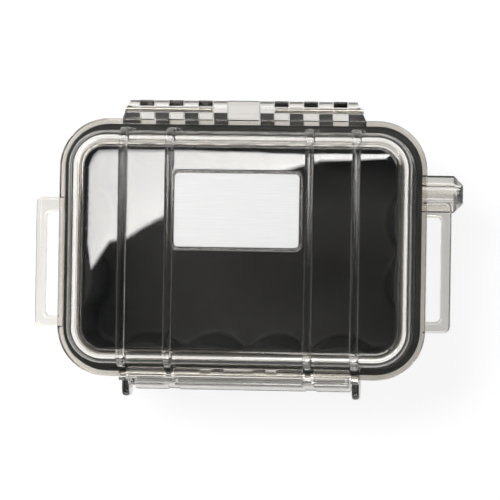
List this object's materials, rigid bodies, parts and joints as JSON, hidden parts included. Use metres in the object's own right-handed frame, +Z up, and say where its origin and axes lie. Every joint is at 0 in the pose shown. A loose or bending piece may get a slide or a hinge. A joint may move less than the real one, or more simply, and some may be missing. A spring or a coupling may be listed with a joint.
{
  "type": "small hard case",
  "caption": "Small clear hard case with a black padded liner, a pinned hinge, a front latch and strap loops.",
  "frame": {"origin": "on the surface that the case stands on, under the middle of its overall box, lid closed", "axes": "+X to the right along the long side, +Y back towards the hinge, +Z up"},
  "size_m": [0.1474, 0.1024, 0.054],
  "materials": {
    "clear_base": "clear polycarbonate, moulded gloss",
    "clear_lid": "clear polycarbonate, moulded gloss",
    "clear_latch": "clear polycarbonate, moulded gloss",
    "liner": "soft black elastomer, fine moulded grain",
    "pin": "drawn stainless wire",
    "plate": "bright brushed, blank",
    "valve_black": "moulded black",
    "o_ring": "smooth",
    "membrane": "white porous film"
  },
  "bodies": {
    "base": {"base_shell": "clear_base", "base_liner": "liner", "hinge_pin_left": "pin", "hinge_pin_right": "pin", "valve_body": "valve_black", "valve_o_ring": "o_ring", "valve_membrane": "membrane", "valve_cap": "valve_black"},
    "lid": {"lid_shell": "clear_lid", "name_plate": "plate", "latch_pin": "pin"},
    "latch": {"latch": "clear_latch"}
  },
  "joints": [
    {"name": "lid_hinge", "type": "hinge", "parent": "base", "child": "lid", "pos_m": [-0.00185, 0.04816, 0.0355], "axis": [-1, 0, 0], "range_deg": [0, 115]},
    {"name": "latch_pivot", "type": "hinge", "parent": "lid", "child": "latch", "pos_m": [-0.00185, -0.0431, 0.0413], "axis": [-1, 0, 0], "range_deg": [0, 110]}
  ]
}
